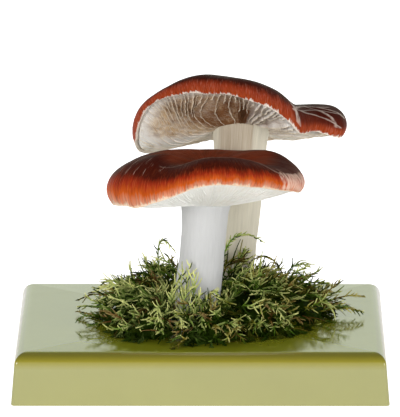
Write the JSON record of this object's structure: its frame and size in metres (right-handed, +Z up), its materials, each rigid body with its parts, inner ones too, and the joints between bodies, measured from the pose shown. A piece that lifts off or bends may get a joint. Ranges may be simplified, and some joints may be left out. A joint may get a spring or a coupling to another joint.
{
  "type": "sickener mushroom display model",
  "caption": "Life-size display model of sickener mushrooms, with curled red caps, white gills and stout stems, standing in moss on a low square moulded plinth.",
  "frame": {"origin": "middle of the plinth's footprint, at the height of its lower rim", "axes": "+Z up, -Y towards the front, +X to the right seen from the front"},
  "size_m": [0.18, 0.18, 0.1438],
  "materials": {
    "plinth_green": "glossy moulded plastic, dull olive green",
    "cap_red": "satin skin, near-black red in the middle to orange at the margin",
    "gill_white": "matte, white to cream",
    "moss_green": "matte dried moss, green with yellow-green tips and some brown"
  },
  "bodies": {
    "root": {"plinth": "plinth_green", "front_cap": "cap_red", "front_gills_and_stem": "gill_white", "rear_cap": "cap_red", "rear_gills_and_stem": "gill_white", "moss_front_left": "moss_green", "moss_front": "moss_green", "moss_front_right": "moss_green", "moss_left": "moss_green", "moss_middle": "moss_green", "moss_right": "moss_green", "moss_back_left": "moss_green", "moss_back_right": "moss_green", "moss_back": "moss_green"}
  },
  "joints": []
}
